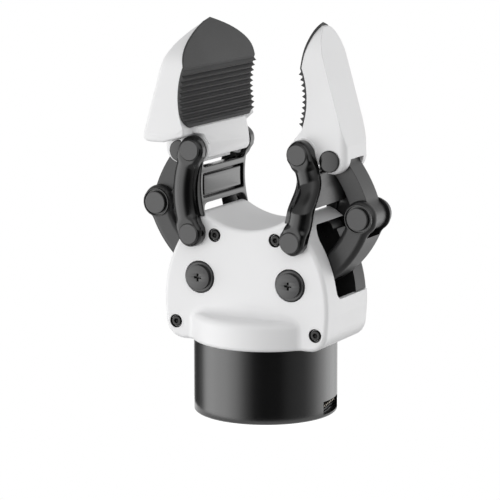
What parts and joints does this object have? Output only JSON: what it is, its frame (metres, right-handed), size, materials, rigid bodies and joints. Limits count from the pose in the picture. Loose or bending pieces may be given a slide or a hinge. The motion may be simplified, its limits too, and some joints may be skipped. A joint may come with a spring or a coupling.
{
  "type": "adaptive robot gripper",
  "caption": "Adaptive parallel-linkage robot gripper with a wide and a narrow ridged finger on a round flange.",
  "frame": {"origin": "centre of the mounting face at the foot of the base", "axes": "+Z to the fingertips, +X across from the wide finger to the narrow one, -Y out of the front cover"},
  "size_m": [0.1202, 0.0698, 0.1822],
  "materials": {
    "white_plastic": "satin white moulding",
    "black_gloss": "smooth black lacquer",
    "black_plastic": "fine-grained black moulding",
    "dark_cap": "satin dark grey",
    "pad_rubber": "dark grey rubber",
    "black_metal": "satin black anodised look",
    "dark_frame": "dark grey moulding",
    "screw_black": "black oxide",
    "steel": "ground steel",
    "bronze": "oiled bronze",
    "aluminium": "machined",
    "gold_contact": "plated contacts",
    "board_green": "coated board",
    "motor_steel": "motor can"
  },
  "bodies": {
    "body": {"mounting_flange": "aluminium", "base_housing": "black_metal", "connector_block": "black_plastic", "connector_pins": "gold_contact", "control_board": "board_green", "motor": "motor_steel", "body_shell": "white_plastic", "inner_frame": "dark_frame", "rear_cover": "dark_frame", "front_cover_screws": "screw_black", "rear_cover_screws": "screw_black", "guide_rods": "steel", "left_axle_bushings": "bronze", "right_axle_bushings": "bronze"},
    "left_arm": {"left_arm_frame": "black_gloss", "left_arm_lower_pins": "dark_cap", "left_arm_upper_pins": "dark_cap"},
    "left_finger_body": {"left_finger": "white_plastic", "left_finger_pin": "dark_cap", "left_grip_pad": "pad_rubber"},
    "left_crank_body": {"left_crank": "black_plastic", "left_sector_gear": "steel", "left_crank_axle": "steel", "left_axle_caps": "dark_cap", "left_knee_pin": "dark_cap"},
    "left_coupler_body": {"left_coupler": "black_plastic"},
    "right_arm": {"right_arm_frame": "black_gloss", "right_arm_lower_pins": "dark_cap", "right_arm_upper_pins": "dark_cap"},
    "right_finger_body": {"right_finger": "white_plastic", "right_finger_pin": "dark_cap", "right_grip_pad": "pad_rubber"},
    "right_crank_body": {"right_crank": "black_plastic", "right_sector_gear": "steel", "right_crank_axle": "steel", "right_axle_caps": "dark_cap", "right_knee_pin": "dark_cap"},
    "right_coupler_body": {"right_coupler": "black_plastic"},
    "nut_body": {"drive_nut": "steel"},
    "screw_body": {"lead_screw": "steel"}
  },
  "joints": [
    {"name": "left_arm_swing", "type": "hinge", "parent": "body", "child": "left_arm", "pos_m": [-0.026, 0, 0.08475], "axis": [0, -1, 0], "range_deg": [-20.6, 21.2]},
    {"name": "left_finger_tilt", "type": "hinge", "parent": "left_arm", "child": "left_finger_body", "pos_m": [-0.0253, 0, 0.1235], "axis": [0, -1, 0], "range_deg": [-6.7, 6.7]},
    {"name": "left_crank_swing", "type": "hinge", "parent": "body", "child": "left_crank_body", "pos_m": [-0.0233, 0, 0.064], "axis": [0, -1, 0], "range_deg": [-13.3, 13.4]},
    {"name": "left_coupler_swing", "type": "hinge", "parent": "left_crank_body", "child": "left_coupler_body", "pos_m": [-0.0522, 0, 0.0952], "axis": [0, -1, 0], "range_deg": [-1.6, 1.6]},
    {"name": "right_arm_swing", "type": "hinge", "parent": "body", "child": "right_arm", "pos_m": [0.026, 0, 0.08475], "axis": [0, 1, 0], "range_deg": [-20.6, 21.2]},
    {"name": "right_finger_tilt", "type": "hinge", "parent": "right_arm", "child": "right_finger_body", "pos_m": [0.0253, 0, 0.1235], "axis": [0, 1, 0], "range_deg": [-6.7, 6.7]},
    {"name": "right_crank_swing", "type": "hinge", "parent": "body", "child": "right_crank_body", "pos_m": [0.0233, 0, 0.064], "axis": [0, 1, 0], "range_deg": [-13.3, 13.4]},
    {"name": "right_coupler_swing", "type": "hinge", "parent": "right_crank_body", "child": "right_coupler_body", "pos_m": [0.0522, 0, 0.0952], "axis": [0, 1, 0], "range_deg": [-1.6, 1.6]},
    {"name": "nut_slide", "type": "slide", "parent": "body", "child": "nut_body", "axis": [0, 0, 1], "range_m": [-0.0034, 0.0034]},
    {"name": "screw_spin", "type": "hinge", "parent": "body", "child": "screw_body", "pos_m": [0, 0, 0.06], "axis": [0, 0, 1], "range_deg": [-605, 605]}
  ],
  "couplings": [
    {"joint": "right_arm_swing", "follows": "left_arm_swing", "ratio": 1},
    {"joint": "left_finger_tilt", "follows": "left_arm_swing", "ratio": -0.31},
    {"joint": "left_crank_swing", "follows": "left_arm_swing", "ratio": 0.6233},
    {"joint": "left_coupler_swing", "follows": "left_arm_swing", "ratio": 0.0694},
    {"joint": "right_finger_tilt", "follows": "left_arm_swing", "ratio": -0.31},
    {"joint": "right_crank_swing", "follows": "left_arm_swing", "ratio": 0.6233},
    {"joint": "right_coupler_swing", "follows": "left_arm_swing", "ratio": 0.0694},
    {"joint": "nut_slide", "follows": "left_arm_swing", "m_per_rad": 0.0089755},
    {"joint": "screw_spin", "follows": "left_arm_swing", "ratio": -28.197}
  ]
}
